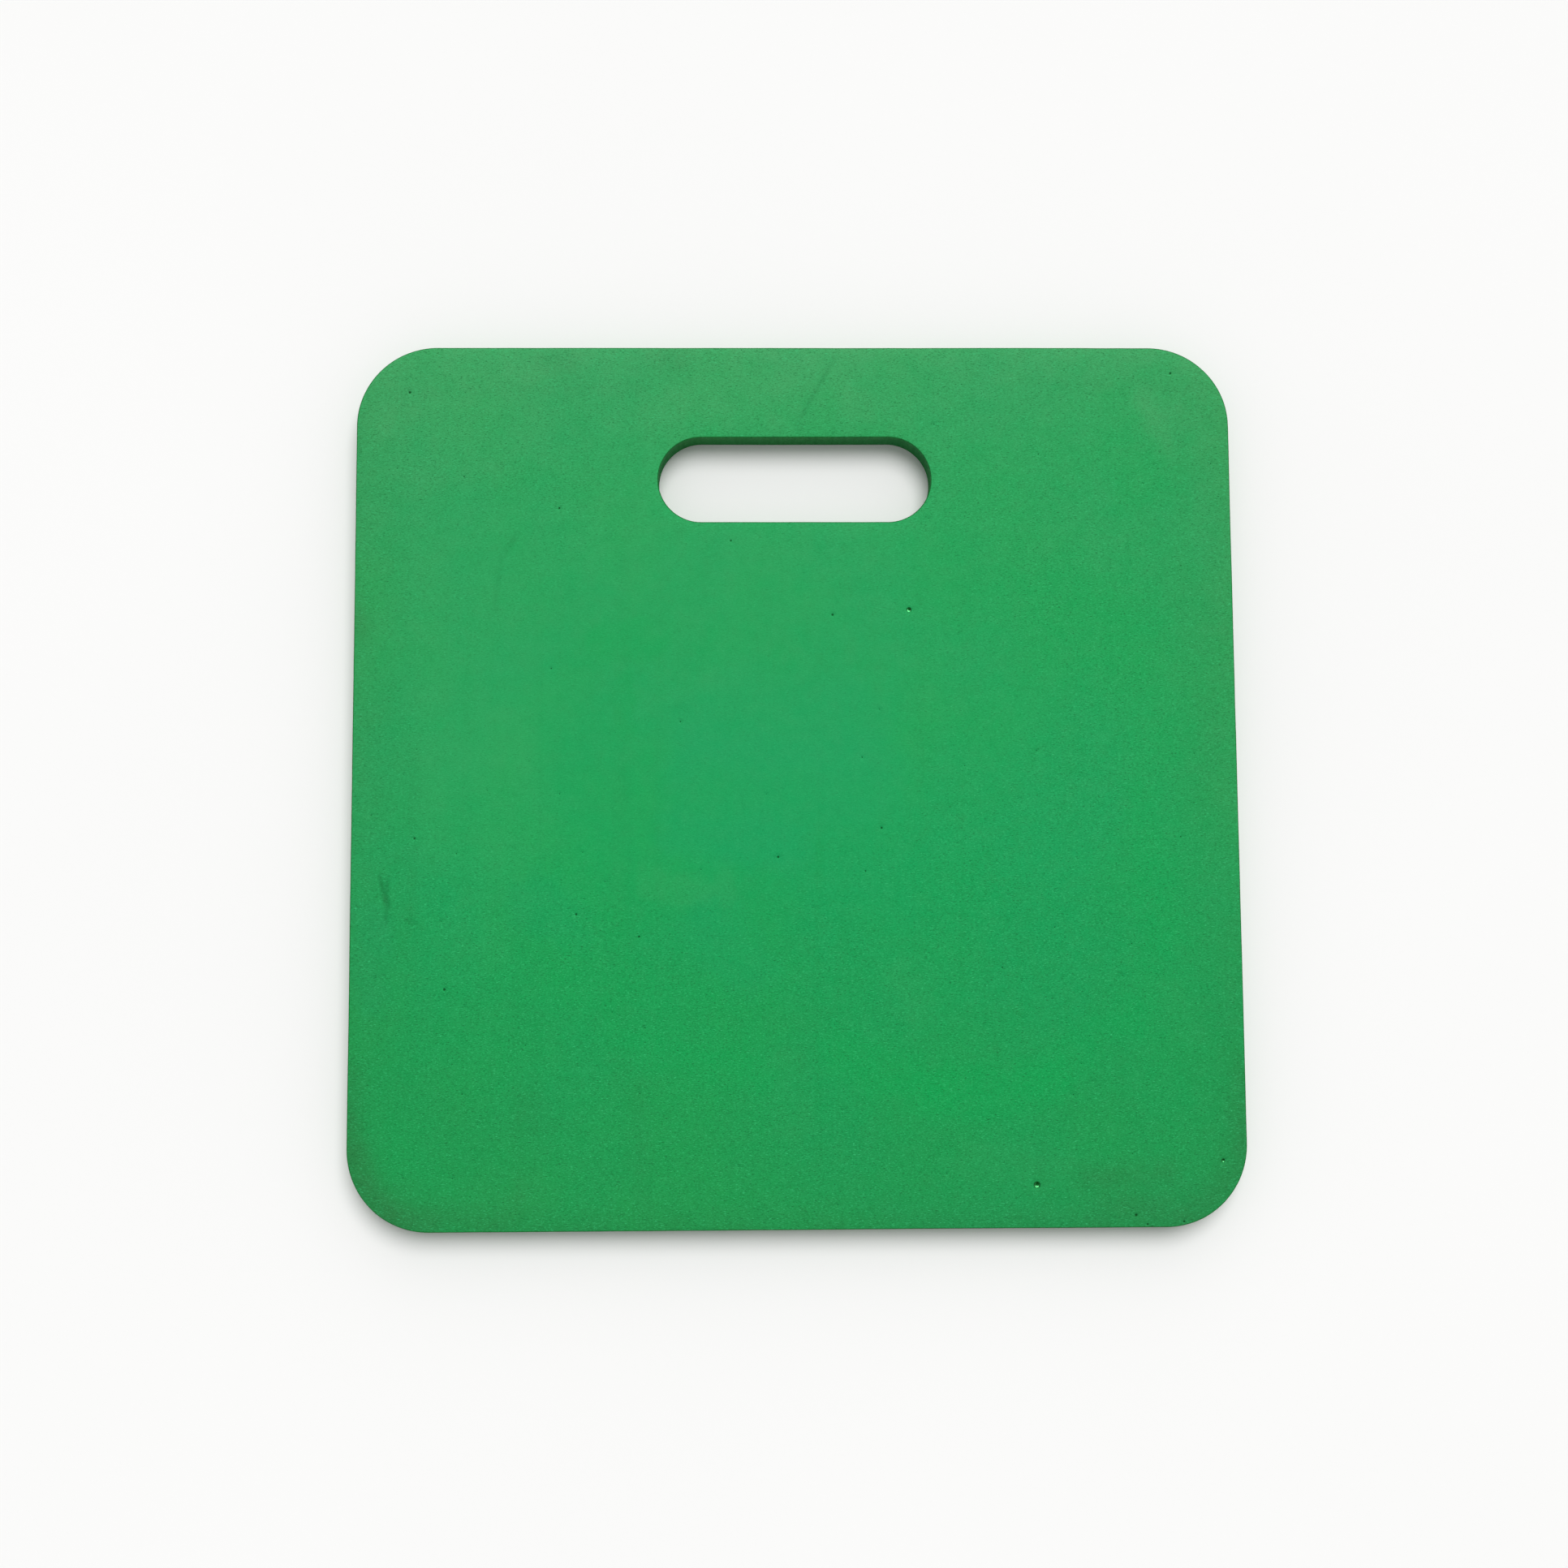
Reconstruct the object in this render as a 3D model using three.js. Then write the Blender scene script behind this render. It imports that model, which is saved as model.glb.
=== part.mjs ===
// A garden kneeling pad: one slab of closed-cell foam, cut by a steel-rule die to a square with round
// corners, with a slot along one side that is the hand hole. The slab is a single piece of one foam.
//
// Millimetres, +Z up. The origin is under the middle of the slab, on the ground that it lies on.
// +Y points to the side with the hand hole, and +X to the right of someone who faces that way.
import * as THREE from "three";

const INCH = 25.4;

// Driving dimensions.
const SIDE = 14 * INCH; // the slab is square
const THICKNESS = INCH / 2;
const CORNER_RADIUS = 32.5;
const HOLE_LENGTH = 111; // end to end, along X
const HOLE_WIDTH = 35; // along Y
const HOLE_TO_EDGE = 37.5; // the strip of foam that the fingers close round
const ARRIS = 0.5; // the die leaves the rims of its cuts eased by this much

// How finely the round stretches and the eased rims are divided.
const ARC_SEGMENTS = 8; // three.js doubles this for each arc
const ARRIS_SEGMENTS = 2;

const HOLE_CENTRE_Y = SIDE / 2 - HOLE_TO_EDGE - HOLE_WIDTH / 2;

// Draws a closed rounded rectangle on path: size along X and Y, corner radius, and its centre on the Y axis.
// A radius of half the smaller size makes a slot with semicircular ends.
function drawRoundedRectangle(path, sizeX, sizeY, radius, centreY) {
  const arcX = sizeX / 2 - radius;
  const arcY = sizeY / 2 - radius;
  const corners = [
    [1, 1],
    [-1, 1],
    [-1, -1],
    [1, -1],
  ];
  corners.forEach(([signX, signY], quarter) => {
    const start = (quarter * Math.PI) / 2;
    path.absarc(signX * arcX, centreY + signY * arcY, radius, start, start + Math.PI / 2, false);
  });
  path.closePath();
  return path;
}

function makeFoamPad() {
  const outline = drawRoundedRectangle(new THREE.Shape(), SIDE, SIDE, CORNER_RADIUS, 0);
  const handHole = drawRoundedRectangle(
    new THREE.Path(),
    HOLE_LENGTH,
    HOLE_WIDTH,
    HOLE_WIDTH / 2,
    HOLE_CENTRE_Y,
  );
  outline.holes.push(handHole);

  const slab = new THREE.ExtrudeGeometry(outline, {
    depth: THICKNESS - 2 * ARRIS,
    curveSegments: ARC_SEGMENTS,
    bevelEnabled: true,
    bevelThickness: ARRIS,
    bevelSize: ARRIS,
    bevelOffset: -ARRIS, // the walls stay at the outline's full size, and the rims step in from them
    bevelSegments: ARRIS_SEGMENTS,
  });
  const foam = new THREE.MeshStandardMaterial({ color: 0x2a9d58, roughness: 0.9, metalness: 0 });

  const pad = new THREE.Mesh(slab, foam);
  pad.name = "foam_pad";
  pad.position.z = ARRIS; // the lower rim starts at the ground
  return pad;
}

const kneelingPad = new THREE.Group();
kneelingPad.name = "kneeling_pad";
kneelingPad.add(makeFoamPad());

export default kneelingPad;
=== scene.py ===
"""A garden kneeling pad: one slab of green closed-cell foam with a hand hole, lying on a pale floor.

The slab is one closed mesh that stands for the CAD node foam_pad. Its walls are rings that follow the die's
cut, and its two faces are triangulated between those rings, finer round each pinhole, nick and crease.
Metres throughout, in the frame of the CAD model: +Z up, and +Y towards the hand hole. Near means towards -Y.
"""

import math
import random

import bpy
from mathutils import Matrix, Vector, noise
from mathutils.geometry import delaunay_2d_cdt


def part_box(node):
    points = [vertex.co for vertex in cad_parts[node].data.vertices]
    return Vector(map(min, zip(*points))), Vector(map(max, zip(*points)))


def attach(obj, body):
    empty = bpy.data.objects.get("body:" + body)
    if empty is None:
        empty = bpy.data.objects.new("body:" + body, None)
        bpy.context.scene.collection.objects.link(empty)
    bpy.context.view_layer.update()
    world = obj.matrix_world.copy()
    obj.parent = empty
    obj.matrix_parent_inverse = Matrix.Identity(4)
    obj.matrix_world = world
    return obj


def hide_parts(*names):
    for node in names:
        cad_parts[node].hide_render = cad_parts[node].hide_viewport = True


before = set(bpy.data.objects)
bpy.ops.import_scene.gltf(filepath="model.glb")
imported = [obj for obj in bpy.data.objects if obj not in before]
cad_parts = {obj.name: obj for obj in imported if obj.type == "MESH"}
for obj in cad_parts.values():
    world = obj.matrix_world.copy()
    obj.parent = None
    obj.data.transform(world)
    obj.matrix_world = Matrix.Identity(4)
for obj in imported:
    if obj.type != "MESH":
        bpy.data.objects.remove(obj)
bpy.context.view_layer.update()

noise.seed_set(1)  # without a seed, noise_vector follows the clock and each run differs

MM = 0.001

# The cut outline. The slab's sides and thickness come from the frame, and the rest are the CAD part's sizes.
SLAB_LOW, SLAB_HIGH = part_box("foam_pad")
WIDTH = SLAB_HIGH.x - SLAB_LOW.x
LENGTH = SLAB_HIGH.y - SLAB_LOW.y
THICKNESS = SLAB_HIGH.z - SLAB_LOW.z
CORNER_RADIUS = 32.5 * MM
HOLE_LENGTH = 111 * MM
HOLE_WIDTH = 35 * MM
HOLE_TO_EDGE = 37.5 * MM
HOLE_CENTRE_Y = LENGTH / 2 - HOLE_TO_EDGE - HOLE_WIDTH / 2

# How cut foam differs from a sharp prism.
ARRIS = 0.4 * MM  # radius of the eased rim
WALL_BOW = 0.35 * MM  # foam springs back after the die, which leaves the wall hollow at half height
WALL_WOBBLE = 0.12 * MM  # how far the cut wanders from its line
ROLL_DROP = 0.42 * MM  # how far the face sinks at the rim
ROLL_REACH = 2.6 * MM  # and how quickly it recovers inwards
FACE_SWELL = 0.16 * MM  # slow unevenness of the skived faces
SWELL_REACH = 8 * MM  # the swell fades out over this much before a cut

# Mesh density.
CUT_PITCH = 1.5 * MM
FACE_PITCH = 1.7 * MM
BACK_PITCH = 3.4 * MM
WALL_ROWS = 9
ARRIS_ROWS = 3
SUPPORT_INSET = 0.9 * MM  # a ring of points just inside each rim keeps its shading clean
GRID_TO_RIM = 0.45  # grid points stay this share of their pitch clear of the ring inside a rim
GRID_TO_PIT = 0.3  # and this share clear of a pinhole
LEAST_GAP = 0.02 * MM  # closer points than this become one
MERGE_TOLERANCE = 1e-6  # of the triangulation, in metres

# Pinholes seen on the kneeling face: x, y and diameter in millimetres.
PINHOLES = [
    (94, -161, 2.6),
    (46, 69, 2.0),
    (168, -152, 1.5),
    (133, -173, 1.2),
    (137.5, -176.6, 0.8),
    (152, -175.7, 0.9),
    (-156.5, 159, 1.1),
    (-95.5, 111, 0.9),
    (-26, 97.5, 0.8),
    (15, 67, 1.0),
    (-7.5, -31, 1.0),
    (34, -19.5, 0.9),
    (-88, -53.5, 0.9),
    (-63, -62.5, 0.9),
    (-140, -83, 1.1),
    (-152.5, -23, 0.9),
    (154.5, 167, 1.0),
]

# Smaller pinholes scattered at random over the kneeling face, with half as many on the underside.
STRAY_PINHOLES = 70
STRAY_DIAMETERS = (0.3, 0.6)  # millimetres
STRAY_GAP = 6 * MM
STRAY_TO_CUT = 3 * MM

# Creases and nicks on the kneeling face: both ends, width, depth, all in millimetres, and how dark it is
# painted as its shade.
GROOVES = [
    ((18, 176), (-1, 142), 2.8, 0.14, 0.2),
    ((-166.3, -36.5), (-164.2, -47), 3.0, 0.22, 0.4),
    ((-162.8, -38), (-163.6, -47), 2.6, 0.18, 0.35),
    ((-165, -42), (-162.2, -52), 4.4, 0.25, 0.5),
    ((-163, -47), (-163.6, -58), 3.0, 0.18, 0.3),
    ((-157, -55), (-150, -57.5), 2.0, 0.1, 0.25),
    ((-111, 103), (-120, 88), 4.0, 0.08, 0.12),
    ((-119.5, 89), (-121.5, 66), 4.0, 0.08, 0.12),
]
GROOVE_STEP = 1.0 * MM
GROOVE_MARGIN = 0.6 * MM  # grid points stay this far from a groove's side

# Smudges on the kneeling face: both ends of a line, its half width in millimetres, and its strength.
SOIL_AND_SHADE = [
    # ground into the two near corners
    ((-178, -118), (-178, -140), 6, 0.3),
    ((-177, -138), (-176, -156), 8, 0.4),
    ((-177, -150), (-160, -175), 8, 0.35),
    ((-166, -171), (-146, -177), 7, 0.4),
    ((-146, -172), (-118, -174), 6, 0.2),
    ((178, -120), (177, -150), 7, 0.25),
    ((176, -155), (155, -177), 9, 0.3),
    ((150, -175), (122, -176), 9, 0.22),
    ((114, -158), (146, -157), 5, 0.24),
    ((124, -168), (150, -170), 6, 0.14),
    ((-150, -130), (-120, -160), 16, 0.08),
    # along the near edge, where this also paints the shade of the rim that rolls away from the light; and both
    # sides
    ((-120, -180), (120, -180), 10, 0.2),
    ((164, 70), (168, -130), 14, 0.07),
    ((-168, 30), (-166, -130), 12, 0.06),
    # faint spots
    ((-105, -130), (-102, -136), 7, 0.12),
    ((-177, 68), (-175, 58), 5, 0.2),
    ((-100, 174), (-92, 171), 6, 0.15),
    ((-54, 175), (-47, 172), 6, 0.15),
    # long faint streaks, from wiping
    ((-69, 100), (-73, -120), 3, 0.05),
    ((-63, -120), (-62, -170), 4, 0.08),
    ((-153, 10), (-154, -60), 3.5, 0.06),
    ((-111, -125), (-110, -170), 3, 0.08),
    ((95, -130), (95, -170), 3, 0.05),
    ((-165, 159), (-60, 160), 2.5, 0.06),
    ((110, 163), (165, 162), 2.5, 0.07),
    ((-130, -94), (0, -95), 4, 0.045),
]
DUST = [
    ((142, 158), (153, 136), 4.5, 0.22),
    ((-170, 150), (-90, 172), 12, 0.22),
    ((-60, 150), (20, 168), 12, 0.2),
    ((-146, -30), (-146, 90), 9, 0.1),
]

# Blotches with firmer edges, listed in the same way: where the foam's green is duller, purer or cooler.
DULL = [
    ((-150, 130), (-112, 140), 14, 0.12),
    ((-124, 60), (-120, 24), 24, 0.05),
    ((-122, 12), (-114, -18), 20, 0.08),
    ((-124, -40), (-128, -62), 15, 0.06),
    ((-60, -42), (-30, -44), 5, 0.1),
    ((42, -78), (46, -90), 7, 0.07),
    ((-125, -163), (-105, -163), 9, 0.05),
    ((-66, 34), (-24, 44), 7, 0.04),
    ((30, 155), (42, 152), 9, 0.14),
    ((-4, -114), (-2, -138), 8, 0.05),
    ((70, -152), (100, -154), 8, 0.05),
    ((142, -84), (156, -100), 7, 0.05),
]
PURE = [
    ((66, 84), (120, 62), 28, 0.24),
    ((112, 72), (138, 56), 16, 0.16),
    ((80, 122), (140, 126), 20, 0.14),
    ((128, 152), (140, 120), 12, 0.16),
    ((90, 26), (146, 22), 20, 0.12),
    ((-78, 58), (-58, 56), 7, 0.3),
    ((-69, 43), (-69, 20), 4, 0.2),
    ((-92, -82), (-24, -100), 15, 0.18),
    ((-72, -104), (-16, -117), 8, 0.26),
    ((-72, -55), (-72, -98), 4, 0.2),
    ((16, -108), (53, -124), 10, 0.42),
    ((53, -126), (99, -122), 10, 0.46),
    ((96, -117), (131, -96), 9, 0.34),
    ((136, -98), (142, -62), 7, 0.16),
    ((52, -40), (72, -44), 13, 0.12),
    ((138, -6), (146, -62), 8, 0.25),
    ((-146, 86), (-146, 27), 6, 0.1),
    ((-158, -110), (-158, -150), 10, 0.15),
    ((148, 116), (156, -120), 20, 0.13),
    ((-166, -136), (-124, -158), 13, 0.14),
    ((-40, -118), (88, -134), 12, 0.1),
]
COOL = [
    ((-32, 24), (22, 22), 22, 0.3),
    ((-36, 4), (24, 0), 20, 0.3),
    ((-44, -22), (-6, -26), 12, 0.35),
    ((-34, -56), (-22, -74), 14, 0.25),
    ((-104, -50), (-92, -58), 12, 0.25),
    ((-172, -60), (-170, -86), 9, 0.35),
    ((-96, 104), (-84, 84), 16, 0.12),
]

# The oval that knees have smoothed: its middle, and half its width and length.
POLISH_CENTRE = (-38 * MM, 30 * MM)
POLISH_HALF = (125 * MM, 85 * MM)


def rounded_loop(size_x, size_y, radius, centre_y):
    """Points round a rounded rectangle, anticlockwise and about CUT_PITCH apart, with outward normals."""
    arc_x = size_x / 2 - radius
    arc_y = size_y / 2 - radius
    arc_steps = max(8, round(radius * math.pi / 2 / CUT_PITCH))
    loop = []
    for quarter, (sign_x, sign_y) in enumerate([(1, 1), (-1, 1), (-1, -1), (1, -1)]):
        centre = Vector((sign_x * arc_x, centre_y + sign_y * arc_y))
        for step in range(arc_steps):
            angle = (quarter + step / arc_steps) * math.pi / 2
            normal = Vector((math.cos(angle), math.sin(angle)))
            loop.append((centre + normal * radius, normal))
        angle = (quarter + 1) * math.pi / 2
        normal = Vector((math.cos(angle), math.sin(angle)))
        along = Vector((-normal.y, normal.x))
        straight = 2 * (arc_x if quarter % 2 == 0 else arc_y)
        steps = round(straight / CUT_PITCH)
        loop += [(centre + normal * radius + along * straight * k / steps, normal) for k in range(steps)]
    return loop


def cut_depth(x, y):
    """How far the point is inside the foam from the nearest cut, in plan."""
    outer = rounded_distance(x, y, WIDTH, LENGTH, CORNER_RADIUS)
    hole = rounded_distance(x, y - HOLE_CENTRE_Y, HOLE_LENGTH, HOLE_WIDTH, HOLE_WIDTH / 2)
    return min(-outer, hole)


def rounded_distance(x, y, size_x, size_y, radius):
    """Signed distance to a rounded rectangle about the origin, positive outside it."""
    away_x = abs(x) - size_x / 2 + radius
    away_y = abs(y) - size_y / 2 + radius
    outside = math.hypot(max(away_x, 0), max(away_y, 0))
    return outside + min(max(away_x, away_y), 0) - radius


def wobble(point, height):
    """How far the cut wanders sideways here: slowly along the outline, and a little up the wall."""
    # the factors are how many waves of noise there are to the metre
    slow = noise.noise(Vector((point.x * 16, point.y * 16, 3.0)))
    quick = noise.noise(Vector((point.x * 90, point.y * 90, height * 60)))
    return WALL_WOBBLE * (slow + 0.35 * quick)


def roll_off(depth):
    """How far a face has sunk at this depth from the cut."""
    return ROLL_DROP * math.exp(-max(depth, 0) / ROLL_REACH)


def wall_profile():
    """(inset, height) of each ring of a cut wall, from the lower face's rim to the upper one's."""
    low = roll_off(ARRIS)
    high = THICKNESS - roll_off(ARRIS)
    rings = []
    for row in range(ARRIS_ROWS):
        angle = row / ARRIS_ROWS * math.pi / 2
        rings.append((ARRIS * (1 - math.sin(angle)), low + ARRIS * (1 - math.cos(angle))))
    for row in range(WALL_ROWS + 1):
        share = row / WALL_ROWS
        bow = WALL_BOW * math.sin(math.pi * share) ** 0.8
        rings.append((bow, low + ARRIS + share * (high - low - 2 * ARRIS)))
    for row in range(1, ARRIS_ROWS + 1):
        angle = row / ARRIS_ROWS * math.pi / 2
        rings.append((ARRIS * (1 - math.cos(angle)), high - ARRIS * (1 - math.sin(angle))))
    return rings


class Pinhole:
    """A burst cell in a face: a round pit with a soft lip. A larger one has a ledge on its near left side."""

    # Rings of points in a pit, from its lip to its bottom: shares of the radius and of the depth, and how far
    # the ring's middle has moved along LEAN, as a share of the radius.
    SMALL = ((1.25, 0.0, 0.0), (1.0, 0.12, 0.0), (0.6, 0.8, 0.0), (0.0, 1.0, 0.0))
    LARGE = (
        (1.25, 0.0, 0.0),
        (1.0, 0.08, 0.0),
        (0.92, 0.42, 0.01),
        (0.82, 0.46, 0.07),
        (0.54, 0.54, 0.31),
        (0.42, 0.74, 0.4),
        (0.0, 1.0, 0.45),
    )
    LEAN = Vector((0.6, 0.8))
    LEAST_LARGE = 0.7 * MM
    DEPTH_TO_RADIUS = 1.1
    CLEARANCE = 1.4  # grid points stay this many radii away
    INSIDE = 0.98  # a triangle is in the pit if its middle is within this many radii

    def __init__(self, x, y, radius):
        self.centre = Vector((x, y))
        self.radius = radius
        self.depth = radius * self.DEPTH_TO_RADIUS
        self.large = radius > self.LEAST_LARGE
        self.rings = self.LARGE if self.large else self.SMALL
        self.sides = 12 if self.large else 8

    def middle(self, lean):
        """The middle of a ring that has leant over by this much."""
        return self.centre + self.LEAN * lean * self.radius

    def points(self):
        """The bottom point, and the points of each ring."""
        made = [self.middle(self.rings[-1][2])]
        for ring, (share, _, lean) in enumerate(self.rings[:-1]):
            for side in range(self.sides):
                angle = (side + ring / 2) / self.sides * math.tau
                direction = Vector((math.cos(angle), math.sin(angle)))
                made.append(self.middle(lean) + direction * self.radius * share)
        return made

    def sink(self, x, y):
        """How deep the pit is here, as a share of its depth."""
        place = Vector((x, y))
        for (outer, shallow, lean), (inner, deep, next_lean) in zip(self.rings, self.rings[1:]):
            from_outer = outer - (place - self.middle(lean)).length / self.radius
            from_inner = (place - self.middle(next_lean)).length / self.radius - inner
            if from_outer <= 0:
                return shallow
            if from_inner >= 0:
                return shallow + (deep - shallow) * from_outer / (from_outer + from_inner)
        return 1.0

    def reach(self):
        return self.radius * self.CLEARANCE


def from_line(x, y, start, end):
    """Where (x, y) is beside a line: the share of the way along it, and the distance from it."""
    line_x, line_y = end[0] - start[0], end[1] - start[1]
    share = ((x - start[0]) * line_x + (y - start[1]) * line_y) / (line_x * line_x + line_y * line_y)
    share = min(max(share, 0), 1)
    return share, math.hypot(x - start[0] - share * line_x, y - start[1] - share * line_y)


class Groove:
    """A straight crease or nick, tapered at both ends."""

    def __init__(self, start, end, width, depth, darkness):
        self.start = Vector(start) * MM
        self.end = Vector(end) * MM
        self.half = width * MM / 2
        self.depth = depth * MM
        self.darkness = darkness

    def points(self):
        """Rows of five points across the groove."""
        length = (self.end - self.start).length
        steps = max(4, round(length / GROOVE_STEP))
        along = (self.end - self.start) / length
        across = Vector((-along.y, along.x))
        return [
            self.start + along * length * k / steps + across * self.half * share
            for k in range(steps + 1)
            for share in (-1, -0.5, 0, 0.5, 1)
        ]

    def sink(self, x, y):
        """How deep the groove is here, as a share of its depth."""
        share, away = from_line(x, y, self.start, self.end)
        if away >= self.half:
            return 0.0
        return math.sin(math.pi * share) ** 0.6 * (1 - (away / self.half) ** 2) ** 2

    def near(self, x, y):
        """True where a grid point would crowd the groove's own points."""
        return from_line(x, y, self.start, self.end)[1] < self.half + GROOVE_MARGIN


def thinned(points, fixed):
    """The points without those within LEAST_GAP of an earlier one. The first, as many as fixed, all stay."""
    kept = []
    cells = {}
    for number, point in enumerate(points):
        column, row = math.floor(point.x / LEAST_GAP), math.floor(point.y / LEAST_GAP)
        around = [(column + i, row + j) for i in (-1, 0, 1) for j in (-1, 0, 1)]
        nearby = [other for cell in around for other in cells.get(cell, ())]
        crowded = any((point - other).length < LEAST_GAP for other in nearby)
        if number < fixed or not crowded:
            kept.append(point)
            cells.setdefault((column, row), []).append(point)
    return kept


def stray_pinholes(count, seed, taken):
    """Small pinholes scattered over a face, clear of the cuts and of the pits in taken."""
    rng = random.Random(seed)
    found = []
    while len(found) < count:
        x = rng.uniform(-WIDTH, WIDTH) / 2
        y = rng.uniform(-LENGTH, LENGTH) / 2
        low, high = STRAY_DIAMETERS
        radius = (low + (high - low) * rng.random() ** 2.5) * MM / 2  # most are small
        clear = all((pit.centre - Vector((x, y))).length > STRAY_GAP for pit in taken + found)
        if clear and cut_depth(x, y) > STRAY_TO_CUT:
            found.append(Pinhole(x, y, radius))
    return found


def swell(x, y, side):
    """Slow unevenness of a skived face, from 0 to FACE_SWELL. The faces, 1 and -1, differ."""
    # the factors of x and y are waves to the metre, and those of side keep the two faces apart
    slow = noise.noise(Vector((x * 13, y * 13, side * 7.0)))
    quick = noise.noise(Vector((x * 45, y * 60, side * 11.0)))
    return FACE_SWELL * (0.5 + 0.38 * slow + 0.12 * quick)


def closed_edges(rings):
    """Edges that close each ring, between points that are numbered through all the rings."""
    edges = []
    first = 0
    for ring in rings:
        count = len(ring)
        edges += [(first + k, first + (k + 1) % count) for k in range(count)]
        first += count
    return edges


# The slab's materials, in the order of its slots.
SKIN, CUT_WALL, BURST_CELL = range(3)


class Slab:
    """Collects the slab's vertices, faces and surface marks, then makes its mesh."""

    def __init__(self):
        self.vertices = []
        self.faces = []
        self.face_material = []
        labels = ("pit", "crease", "stain_and_shade", "soil_and_shade", "dust_and_sheen", "pure", "cool", "polish")
        self.marks = {label: [] for label in labels}

    def add_vertex(self, place, **marks):
        self.vertices.append(place)
        for name, values in self.marks.items():
            values.append(marks.get(name, 0.0))
        return len(self.vertices) - 1

    def add_wall(self, loop, material_side):
        """Rings of a cut wall. material_side is -1 if the foam is inside the loop, and 1 if it is outside."""
        rings = []
        profile = wall_profile()
        for inset, height in profile:
            marked = (inset, height) == profile[-1]  # the last ring is the kneeling face's rim
            ring = []
            for point, normal in loop:
                place = point + normal * (material_side * inset + wobble(point, height))
                marks = face_marks(place.x, place.y) if marked else {}
                ring.append(self.add_vertex((place.x, place.y, height), **marks))
            rings.append(ring)
        count = len(loop)
        for lower, upper in zip(rings, rings[1:]):
            for k in range(count):
                after = (k + 1) % count
                quad = [lower[k], lower[after], upper[after], upper[k]]
                self.faces.append(quad if material_side < 0 else quad[::-1])
                self.face_material.append(CUT_WALL)
        return rings

    def add_face(self, rims, pitch, pits, grooves, up):
        """Fills a face between the rims' rings. up is 1 for the kneeling face and -1 for the underside."""
        rim = [index for ring in rims for index in ring]
        points = [Vector(self.vertices[index][:2]) for index in rim]
        for loop, material_side in ((OUTLINE, -1), (HAND_HOLE, 1)):
            points += [p + n * material_side * (ARRIS + SUPPORT_INSET) for p, n in loop]
        for mark in pits + grooves:
            points += mark.points()
        points += self.grid_points(pitch, pits, grooves)
        points = thinned(points, len(rim))

        edges = closed_edges(rims)
        found, _, triangles, origins, _, _ = delaunay_2d_cdt(points, edges, [], 0, MERGE_TOLERANCE)
        ring_of = [number for number, ring in enumerate(rims) for _ in ring]
        ring_at = []  # which rim each found point is on, or none
        index_at = []
        for place, (origin, *_) in zip(found, origins):
            if origin < len(rim):
                ring_at.append(ring_of[origin])
                index_at.append(rim[origin])
            else:
                ring_at.append(None)
                index_at.append(self.add_face_vertex(place.x, place.y, pits, grooves, up))
        large = [pit for pit in pits if pit.large]
        for triangle in triangles:
            touched = {ring_at[k] for k in triangle}
            if len(touched) == 1 and touched != {None}:
                continue  # it spans the hand hole, or a bay of the outline
            corners = [index_at[k] for k in triangle]
            self.faces.append(corners if up > 0 else corners[::-1])
            self.face_material.append(self.face_kind(corners, large))

    def face_kind(self, corners, large):
        """The material of a triangle in a face: burst cell inside a large pit, and skin elsewhere."""
        middle = sum((Vector(self.vertices[corner][:2]) for corner in corners), Vector((0, 0))) / 3
        inside = any((middle - pit.centre).length < pit.radius * Pinhole.INSIDE for pit in large)
        return BURST_CELL if inside else SKIN

    def grid_points(self, pitch, pits, grooves):
        """Points of a square grid over the foam, clear of the rims, pits and grooves."""
        half_x = int(WIDTH / 2 / pitch) + 1
        half_y = int(LENGTH / 2 / pitch) + 1
        crowded = set()
        for pit in pits:
            reach = pit.reach() + GRID_TO_PIT * pitch
            cell_x, cell_y = pit.centre / pitch
            span = math.ceil(reach / pitch)
            for i in range(round(cell_x) - span, round(cell_x) + span + 1):
                for j in range(round(cell_y) - span, round(cell_y) + span + 1):
                    if (Vector((i * pitch, j * pitch)) - pit.centre).length < reach:
                        crowded.add((i, j))
        margin = ARRIS + SUPPORT_INSET + GRID_TO_RIM * pitch
        kept = []
        for i in range(-half_x, half_x + 1):
            for j in range(-half_y, half_y + 1):
                x, y = i * pitch, j * pitch
                if (i, j) in crowded or cut_depth(x, y) < margin:
                    continue
                if any(groove.near(x, y) for groove in grooves):
                    continue
                kept.append(Vector((x, y)))
        return kept

    def add_face_vertex(self, x, y, pits, grooves, up):
        """A vertex of a face, sunk in a pit or a groove. Only the kneeling face has marks of use."""
        inside, creased, sunk = 0.0, 0.0, 0.0
        for pit in pits:
            if abs(x - pit.centre.x) < pit.reach() and abs(y - pit.centre.y) < pit.reach():
                share = pit.sink(x, y)
                inside = max(inside, share)
                sunk = max(sunk, share * pit.depth)
        for groove in grooves:
            share = groove.sink(x, y)
            creased = max(creased, share * groove.darkness)
            sunk += share * groove.depth
        depth = cut_depth(x, y)
        settle = min(depth / SWELL_REACH, 1)
        swollen = swell(x, y, up) * settle
        if up < 0:
            return self.add_vertex((x, y, roll_off(depth) + swollen + sunk), pit=inside)
        height = THICKNESS - roll_off(depth) + swollen - FACE_SWELL / 2 * settle - sunk
        return self.add_vertex(
            (x, y, height),
            pit=inside,
            crease=creased,
            **face_marks(x, y),
        )

    def make(self, name, materials):
        mesh = bpy.data.meshes.new(name)
        mesh.from_pydata(self.vertices, [], self.faces)
        mesh.polygons.foreach_set("material_index", self.face_material)
        # a burst cell's walls stay flat, so that one of them can glint on its own
        mesh.polygons.foreach_set("use_smooth", [kind != BURST_CELL for kind in self.face_material])
        for label, values in self.marks.items():
            mesh.attributes.new(label, "FLOAT", "POINT").data.foreach_set("value", values)
        for material in materials:
            mesh.materials.append(material)
        mesh.validate()
        made = bpy.data.objects.new(name, mesh)
        bpy.context.scene.collection.objects.link(made)
        return made


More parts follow.
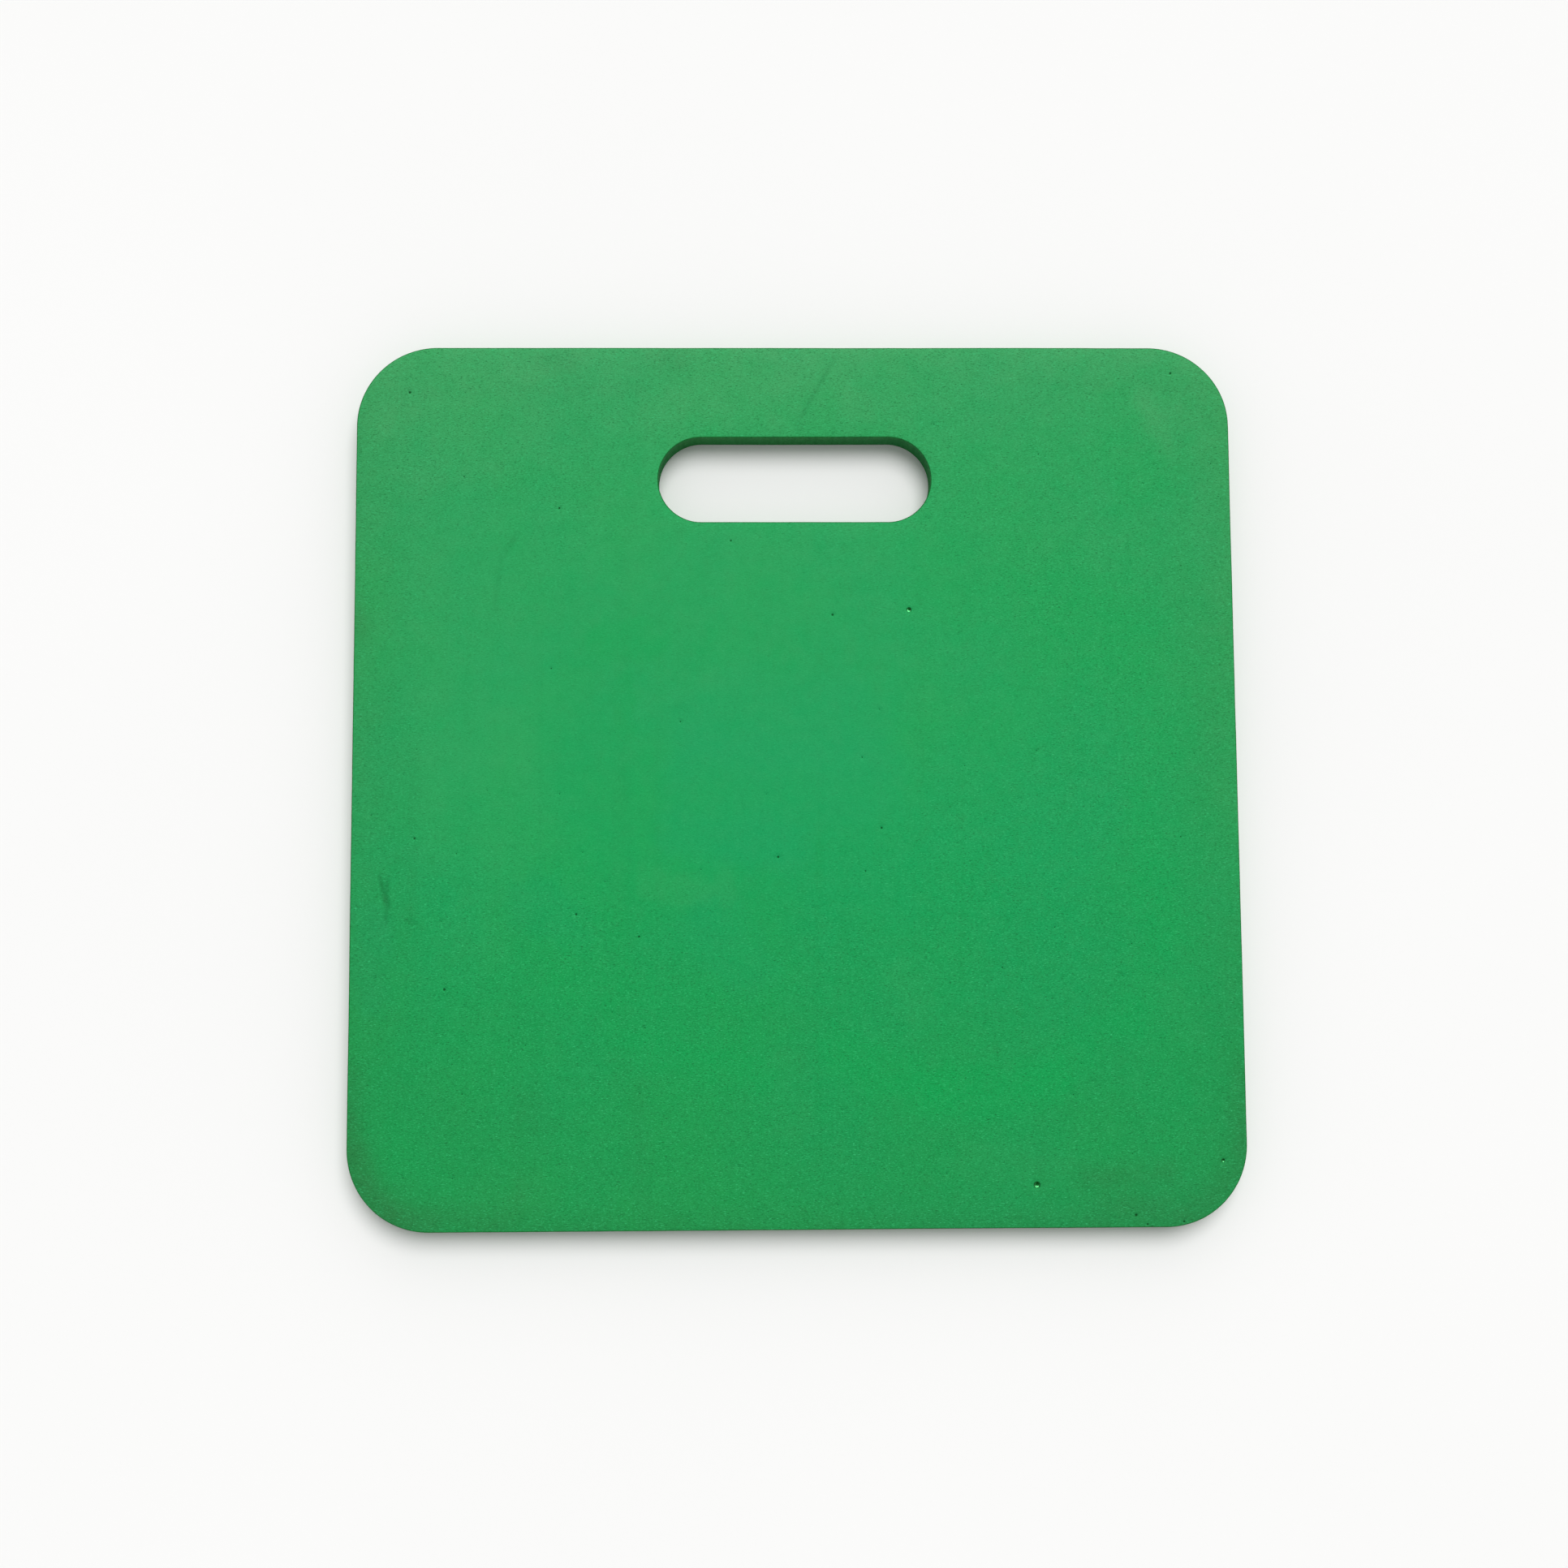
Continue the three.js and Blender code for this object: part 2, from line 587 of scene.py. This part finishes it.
def smudged(x, y, smudges, firmness=2):
    """How strongly a list of smudges covers this point, from 0 to 1. More firmness gives sharper edges."""
    clear = 1.0
    for start, end, half_width, strength in smudges:
        _, away = from_line(x / MM, y / MM, start, end)
        clear *= 1 - strength * math.exp(-((away / half_width) ** firmness))
    return 1 - clear


def blotched(x, y, blotches):
    """Like smudged, with sharper edges that wander by a few millimetres."""
    place = Vector((x * 60, y * 60, 0.0))
    drift = noise.noise_vector(place) * 5 * MM + noise.noise_vector(place * 3.1) * 3 * MM
    return smudged(x + drift.x, y + drift.y, blotches, firmness=4)


def ramp(value, start, end):
    """0 up to start, 1 from end on, and a straight rise in between."""
    return min(max((value - start) / (end - start), 0), 1)


def fading(distance, reach):
    """1 at no distance, falling to about a third over each reach."""
    return math.exp(-distance / reach)


def stain_and_shade_at(x, y):
    """A thin yellowish stain all along both sides; over the near half it grows towards the near edge, where it
    also paints shade away from the light.
    """
    near = ramp(y, -30 * MM, -178 * MM)
    side = fading(WIDTH / 2 - abs(x), 18 * MM)
    return min(0.27 * near + 0.17 * side, 1)


def dust_and_sheen_at(x, y):
    """Dry bloom on the skin, and painted sheen where the light from beyond the far edge glances off: growing
    towards the far edge and strongest at the far rim, and a little along the far part of both sides.
    """
    far = ramp(y, -60 * MM, 178 * MM)
    side = fading(WIDTH / 2 - abs(x), 20 * MM) * ramp(y, -120 * MM, 0)
    rim = fading(LENGTH / 2 - y, 12 * MM)
    bloom = min(0.35 * far**1.3 + 0.19 * side + 0.26 * rim, 1)
    bloom += (1 - bloom) * smudged(x, y, DUST)
    return bloom + (1 - bloom) * blotched(x, y, DULL)


def polish_at(x, y):
    """How much knees have smoothed the grain: fully in a ragged oval, and not at all at the rims."""
    away = math.hypot((x - POLISH_CENTRE[0]) / POLISH_HALF[0], (y - POLISH_CENTRE[1]) / POLISH_HALF[1])
    ragged = 0.25 * noise.noise(Vector((x * 25, y * 25, 0.0)))
    return ramp(away - ragged, 1.25, 0.65)


def face_marks(x, y):
    """What has marked the kneeling face here: a strength from 0 to 1 for each kind of mark."""
    return {
        "stain_and_shade": stain_and_shade_at(x, y),
        "soil_and_shade": smudged(x, y, SOIL_AND_SHADE),
        "dust_and_sheen": dust_and_sheen_at(x, y),
        "pure": blotched(x, y, PURE),
        "cool": blotched(x, y, COOL),
        "polish": polish_at(x, y),
    }


class Nodes:
    """Short-hand for building a material's node tree."""

    def __init__(self, name):
        self.material = bpy.data.materials.new(name)
        self.material.use_nodes = True
        self.tree = self.material.node_tree
        self.tree.nodes.clear()
        self.output = self.add("ShaderNodeOutputMaterial")

    def add(self, kind, inputs=None, **settings):
        node = self.tree.nodes.new(kind)
        for key, value in settings.items():
            setattr(node, key, value)
        for key, value in (inputs or {}).items():
            if isinstance(value, bpy.types.NodeSocket):
                self.tree.links.new(value, node.inputs[key])
            else:
                node.inputs[key].default_value = value
        return node

    def coordinates(self, scale=(1, 1, 1)):
        place = self.add("ShaderNodeTexCoord").outputs["Object"]
        return self.add("ShaderNodeMapping", {"Vector": place, "Scale": scale}).outputs["Vector"]

    def noise(self, scale, detail=2.0, stretch=(1, 1, 1), distortion=0.0):
        """Noise with this many features to the metre, thinner along the axes with a large stretch."""
        inputs = {"Vector": self.coordinates(stretch), "Scale": scale}
        inputs |= {"Detail": detail, "Distortion": distortion}
        return self.add("ShaderNodeTexNoise", inputs).outputs["Fac"]

    def cells(self, scale):
        """Distance from the middle of round cells, this many to the metre."""
        inputs = {"Vector": self.coordinates(), "Scale": scale}
        return self.add("ShaderNodeTexVoronoi", inputs).outputs["Distance"]

    def remap(self, value, low, high, to_low=0.0, to_high=1.0):
        """The value carried from the range low to high to the other range, and kept inside it."""
        inputs = {"Value": value, "From Min": low, "From Max": high, "To Min": to_low, "To Max": to_high}
        return self.add("ShaderNodeMapRange", inputs).outputs["Result"]

    def times(self, a, b):
        return self.add("ShaderNodeMath", {0: a, 1: b}, operation="MULTIPLY").outputs[0]

    def plus(self, a, b):
        return self.add("ShaderNodeMath", {0: a, 1: b}, operation="ADD").outputs[0]

    def attribute(self, name):
        return self.add("ShaderNodeAttribute", attribute_name=name).outputs["Fac"]

    def mix(self, factor, a, b):
        """Colour a where the factor is 0, and colour b where it is 1."""
        sockets = {0: factor, 6: a, 7: b}  # the node's factor, and its A and B for colours
        return self.add("ShaderNodeMix", sockets, data_type="RGBA", clamp_result=True).outputs[2]

    def finish(self, shader):
        self.tree.links.new(shader.outputs[0], self.output.inputs["Surface"])
        return self.material


def colour(red, green, blue):
    """A colour given in sRGB, 0 to 255, as Blender's linear RGBA."""
    def linear(value):
        share = value / 255
        return share / 12.92 if share <= 0.04045 else ((share + 0.055) / 1.055) ** 2.4

    return (linear(red), linear(green), linear(blue), 1.0)


# The face's greens: clean, then by what has changed them, and by painted sheen and shade.
FOAM = colour(17, 158, 82)
FOAM_COOL = colour(11, 156, 87)
FOAM_PURE = colour(0, 159, 78)
FOAM_BLUISH = colour(14, 155, 96)
FOAM_DEEP = colour(14, 150, 79)
# paler and duller: dust, and painted sheen towards the far edge
FOAM_DUST_AND_SHEEN = colour(76, 162, 101)
# dark pores of the grain, and painted shade in creases and nicks
FOAM_PORE_AND_SHADE = colour(6, 92, 42)
# dark greens painted into the pits as their shade
PIT_SHADE = colour(0, 72, 18)
PIT_SHADE_DEEP = colour(0, 52, 12)
FLECK = colour(62, 196, 124)
# darker, yellower: a stain, and painted shade over the near half
STAINED_AND_SHADED = colour(38, 116, 42)
# soil, and painted shade along the near rim
SOILED_AND_SHADED = colour(45, 102, 56)
FILM = colour(120, 255, 160)
# The cut walls' greens: darker than the faces, partly for their open cells and partly as painted shade that
# keeps the hand hole's walls dark under soft light.
CUT_FOAM_SHADED = colour(24, 118, 50)
CUT_COOL_SHADED = colour(18, 111, 52)
CUT_PORE = colour(8, 64, 26)


def skived_foam():
    """The two faces: foam that a blade has split from a block, with a fine felt-like grain."""
    n = Nodes("foam_face")
    cloud = n.noise(14, 3)
    streak = n.noise(1, 3, (170, 6, 6))
    mottle = n.noise(210, 2)
    dash = n.noise(1, 2, (1080, 3800, 1080), distortion=0.35)
    speck = n.noise(2300, 1)
    patch = n.noise(70, 3)

    # the foam's own green drifts slowly, with faint streaks that run away from the viewer
    base = n.mix(n.remap(cloud, 0.36, 0.64, 0.0, 0.8), FOAM, FOAM_COOL)
    base = n.mix(n.remap(streak, 0.5, 0.75, 0.0, 0.35), base, FOAM_DEEP)
    base = n.mix(n.remap(mottle, 0.45, 0.75, 0.0, 0.5), base, FOAM_DEEP)

    # marks of use, with painted sheen growing towards the far edge and painted shade towards the near one
    dust_and_sheen = n.times(n.attribute("dust_and_sheen"), n.remap(patch, 0.3, 0.7, 0.8, 1.2))
    soil_and_shade = n.times(n.attribute("soil_and_shade"), n.remap(patch, 0.3, 0.6, 0.55, 1.0))
    base = n.mix(n.attribute("cool"), base, FOAM_BLUISH)
    base = n.mix(dust_and_sheen, base, FOAM_DUST_AND_SHEEN)
    # stain, with painted shade growing over the near half
    base = n.mix(n.attribute("stain_and_shade"), base, STAINED_AND_SHADED)
    # soil, with painted shade along the near rim
    base = n.mix(soil_and_shade, base, SOILED_AND_SHADED)
    base = n.mix(n.attribute("pure"), base, FOAM_PURE)

    # the grain, which knees have smoothed: short dark and pale dashes, and finer dark specks
    grain = n.remap(n.attribute("polish"), 0.0, 1.0, 1.0, 0.38)
    base = n.mix(n.times(n.remap(dash, 0.56, 0.77, 0.0, 0.93), grain), base, FOAM_PORE_AND_SHADE)
    base = n.mix(n.times(n.remap(dash, 0.42, 0.22, 0.0, 0.78), grain), base, FLECK)
    base = n.mix(n.times(n.remap(speck, 0.55, 0.8, 0.0, 0.4), grain), base, FOAM_PORE_AND_SHADE)

    # painted shade along the creases and nicks
    base = n.mix(n.attribute("crease"), base, FOAM_PORE_AND_SHADE)
    # painted shade in the pits, darker with depth
    base = n.mix(n.remap(n.attribute("pit"), 0.1, 0.7, 0.0, 0.75), base, PIT_SHADE)

    height = n.plus(dash, n.times(n.noise(420, 2), 1.2))
    bump = n.add("ShaderNodeBump", {"Height": height, "Strength": 0.5, "Distance": 0.00014})
    shader = n.add(
        "ShaderNodeBsdfPrincipled",
        {
            "Base Color": base,
            "Roughness": n.remap(n.noise(160, 3), 0.3, 0.7, 0.62, 0.78),
            "Normal": bump.outputs["Normal"],
            "Specular IOR Level": 0.15,
        },
    )
    return n.finish(shader)


def burst_cell():
    """The inside of a large pinhole: a smooth film that glints, painted dark green for the shade inside the
    pit.
    """
    n = Nodes("foam_burst_cell")
    shader = n.add(
        "ShaderNodeBsdfPrincipled",
        {
            "Base Color": n.mix(n.remap(n.noise(1500, 2), 0.35, 0.65), PIT_SHADE, PIT_SHADE_DEEP),
            "Roughness": n.remap(n.noise(900, 2), 0.3, 0.7, 0.2, 0.28),
            "Specular IOR Level": 0.9,
            "Specular Tint": FILM,
            "IOR": 2.0,
        },
    )
    return n.finish(shader)


def die_cut_foam():
    """The walls of both cuts: open cells, and fine lines that the die drew down them."""
    n = Nodes("foam_cut_wall")
    cells = n.cells(1300)
    coarse = n.cells(520)
    drag = n.noise(1, 2, (620, 620, 40))
    cloud = n.noise(30, 3)

    # darker than the faces: open cells, and painted shade
    base = n.mix(n.remap(cloud, 0.3, 0.7), CUT_FOAM_SHADED, CUT_COOL_SHADED)
    base = n.mix(n.remap(drag, 0.45, 0.8, 0.0, 0.22), base, CUT_PORE)
    base = n.mix(n.remap(cells, 0.0, 0.4, 0.6, 0.0), base, CUT_PORE)
    base = n.mix(n.remap(coarse, 0.0, 0.2, 0.75, 0.0), base, CUT_PORE)

    height = n.plus(cells, n.times(drag, 0.8))
    height = n.plus(height, n.times(n.remap(coarse, 0.0, 0.25), 0.9))
    bump = n.add("ShaderNodeBump", {"Height": height, "Strength": 0.7, "Distance": 0.00022})
    shader = n.add(
        "ShaderNodeBsdfPrincipled",
        {
            "Base Color": base,
            "Roughness": n.remap(drag, 0.3, 0.7, 0.78, 0.92),
            "Normal": bump.outputs["Normal"],
            "Specular IOR Level": 0.25,
        },
    )
    return n.finish(shader)


OUTLINE = rounded_loop(WIDTH, LENGTH, CORNER_RADIUS, 0)
HAND_HOLE = rounded_loop(HOLE_LENGTH, HOLE_WIDTH, HOLE_WIDTH / 2, HOLE_CENTRE_Y)


def foam_slab():
    """The whole pad: the walls of both cuts, then the kneeling face and the underside between them."""
    slab = Slab()
    outer = slab.add_wall(OUTLINE, -1)
    inner = slab.add_wall(HAND_HOLE, 1)
    seen = [Pinhole(x * MM, y * MM, diameter * MM / 2) for x, y, diameter in PINHOLES]
    grooves = [Groove(*mark) for mark in GROOVES]
    upper_pits = seen + stray_pinholes(STRAY_PINHOLES, seed=7, taken=seen)
    lower_pits = stray_pinholes(STRAY_PINHOLES // 2, seed=8, taken=[])
    slab.add_face([outer[-1], inner[-1]], FACE_PITCH, upper_pits, grooves, 1)
    slab.add_face([outer[0], inner[0]], BACK_PITCH, lower_pits, [], -1)
    return slab.make("foam_slab", [skived_foam(), die_cut_foam(), burst_cell()])


def floor():
    """A pale matte floor that runs past every view."""
    mesh = bpy.data.meshes.new("floor")
    half = 30.0
    corners = [(-half, -half, 0), (half, -half, 0), (half, half, 0), (-half, half, 0)]
    mesh.from_pydata(corners, [], [(0, 1, 2, 3)])
    n = Nodes("floor")
    tone = n.mix(n.noise(3, 2), colour(243, 243, 242), colour(246, 246, 245))
    mesh.materials.append(n.finish(n.add("ShaderNodeBsdfDiffuse", {"Color": tone})))
    made = bpy.data.objects.new("floor", mesh)
    bpy.context.scene.collection.objects.link(made)


def sun(name, toward, strength, width):
    """A distant lamp in the direction toward, as wide in the sky as width degrees."""
    data = bpy.data.lights.new(name, "SUN")
    data.energy = strength
    data.angle = math.radians(width)
    made = bpy.data.objects.new(name, data)
    made.rotation_euler = Vector(toward).to_track_quat("Z", "Y").to_euler()
    bpy.context.scene.collection.objects.link(made)


def studio():
    """Soft light from beyond the hand hole and a little to the right, in a room that is pale low down."""
    sun("key", (0.25, 0.72, 1.5), 1.98, 40)
    sun("window", (0.1, 1.0, 0.55), 0.45, 60)
    horizon, overhead = 0.965, 0.36  # brightness; the first makes the room meet the floor without a line
    overhead_from = 0.6  # upward part of the direction from which the room is as dark as overhead
    world = bpy.data.worlds.new("room")
    bpy.context.scene.world = world
    world.use_nodes = True
    tree = world.node_tree
    tree.nodes.clear()
    direction = tree.nodes.new("ShaderNodeTexCoord").outputs["Generated"]
    split = tree.nodes.new("ShaderNodeSeparateXYZ")
    gradient = tree.nodes.new("ShaderNodeMapRange")
    gradient.inputs["From Min"].default_value = 0.0
    gradient.inputs["From Max"].default_value = overhead_from
    gradient.inputs["To Min"].default_value = horizon
    gradient.inputs["To Max"].default_value = overhead
    background = tree.nodes.new("ShaderNodeBackground")
    output = tree.nodes.new("ShaderNodeOutputWorld")
    tree.links.new(direction, split.inputs[0])
    tree.links.new(split.outputs["Z"], gradient.inputs["Value"])
    tree.links.new(gradient.outputs["Result"], background.inputs["Color"])
    tree.links.new(background.outputs[0], output.inputs["Surface"])


def camera():
    """The photo's camera, fitted to the slab's outline: almost straight above it, a little to the near side."""
    aim = Vector((-0.0050, -0.0017, THICKNESS))
    distance = 0.814
    tilt = Vector((math.radians(5.43), math.radians(-1.09), math.radians(-0.21)))
    data = bpy.data.cameras.new("camera")
    data.lens = 46.6
    data.sensor_width = 36
    made = bpy.data.objects.new("camera", data)
    made.rotation_mode = "ZYX"
    made.rotation_euler = tilt
    back = made.rotation_euler.to_matrix() @ Vector((0, 0, 1))
    made.location = aim + back * distance
    bpy.context.scene.collection.objects.link(made)
    bpy.context.scene.camera = made


camera()
studio()
floor()

slab = foam_slab()
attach(slab, "root")
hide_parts("foam_pad")

bpy.context.scene.view_settings.view_transform = "Standard"
